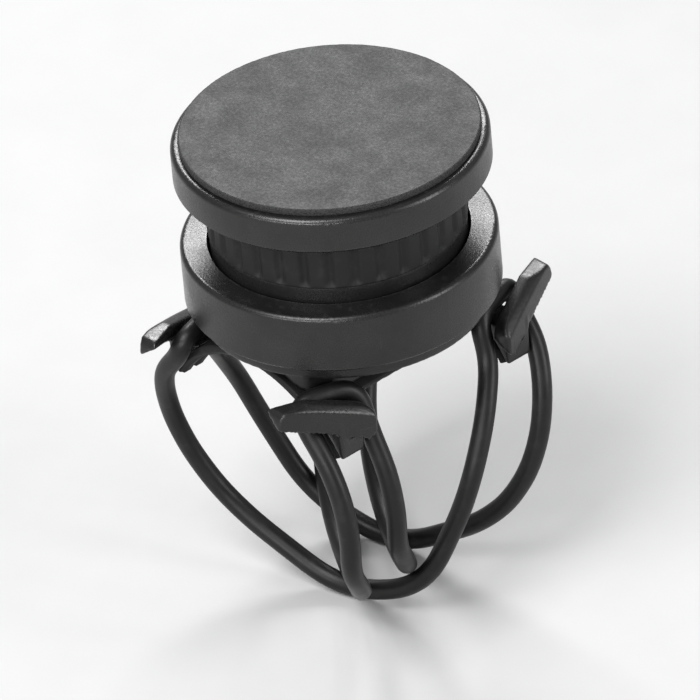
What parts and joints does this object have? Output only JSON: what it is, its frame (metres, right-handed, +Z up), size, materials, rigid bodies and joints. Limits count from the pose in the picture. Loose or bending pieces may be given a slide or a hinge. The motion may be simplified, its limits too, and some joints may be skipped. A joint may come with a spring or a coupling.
{
  "type": "phone mount",
  "caption": "Puck-shaped bicycle phone mount: a saddle strapped on the stem by crossing rubber rings, with a release collar and a turning adhesive adapter.",
  "frame": {"origin": "on the axis of the bicycle's stem, under the middle of the mount", "axes": "+Z up through the mount to the phone, +Y forward along the stem, +X to the rider's right"},
  "size_m": [0.04, 0.0464, 0.0672],
  "materials": {
    "moulded_plastic": "fine-grained satin moulding",
    "base_plastic": "fine-grained satin moulding, glass-filled",
    "acetal": "smooth low-friction moulding",
    "rubber": "matte elastic rubber",
    "pad_rubber": "matte soft rubber",
    "grip_rubber": "ribbed matte rubber",
    "plate_steel": "pressed steel, lightly brushed",
    "screw_steel": "turned and plated",
    "black_screw": "black oxide",
    "pin_steel": "ground",
    "spring_steel": "drawn wire",
    "brass": "knurled inserts",
    "foam_tape": "closed-cell foam with adhesive"
  },
  "bodies": {
    "base": {"saddle_base": "base_plastic", "saddle_pad": "pad_rubber", "stem_ring_inner": "rubber", "stem_ring_outer": "rubber", "housing": "moulded_plastic", "base_screws": "black_screw", "head_inserts": "brass", "head": "acetal", "friction_ring": "grip_rubber", "spring_seat": "screw_steel", "collar_spring": "spring_steel"},
    "collar_group": {"collar": "moulded_plastic", "grip_band": "grip_rubber", "cam_pins": "pin_steel"},
    "latch_left_body": {"latch_left": "pin_steel"},
    "latch_right_body": {"latch_right": "pin_steel"},
    "adapter": {"adapter_body": "moulded_plastic", "retaining_plate": "plate_steel", "plate_screws": "black_screw", "adhesive_pad": "foam_tape"}
  },
  "joints": [
    {"name": "adapter_turn", "type": "hinge", "parent": "base", "child": "adapter", "pos_m": [0, 0, 0.0389], "axis": [0, 0, 1], "continuous": true},
    {"name": "collar_press", "type": "slide", "parent": "base", "child": "collar_group", "axis": [0, 0, -1], "range_m": [0, 0.0024], "stiffness_N_per_m": 900, "springref_m": -0.006, "deforming": ["collar_spring"]},
    {"name": "latch_left_slide", "type": "slide", "parent": "base", "child": "latch_left_body", "axis": [1, 0, 0], "range_m": [0, 0.0012]},
    {"name": "latch_right_slide", "type": "slide", "parent": "base", "child": "latch_right_body", "axis": [-1, 0, 0], "range_m": [0, 0.0012]}
  ],
  "couplings": [
    {"joint": "latch_left_slide", "follows": "collar_press", "ratio": 0.5},
    {"joint": "latch_right_slide", "follows": "collar_press", "ratio": 0.5}
  ]
}
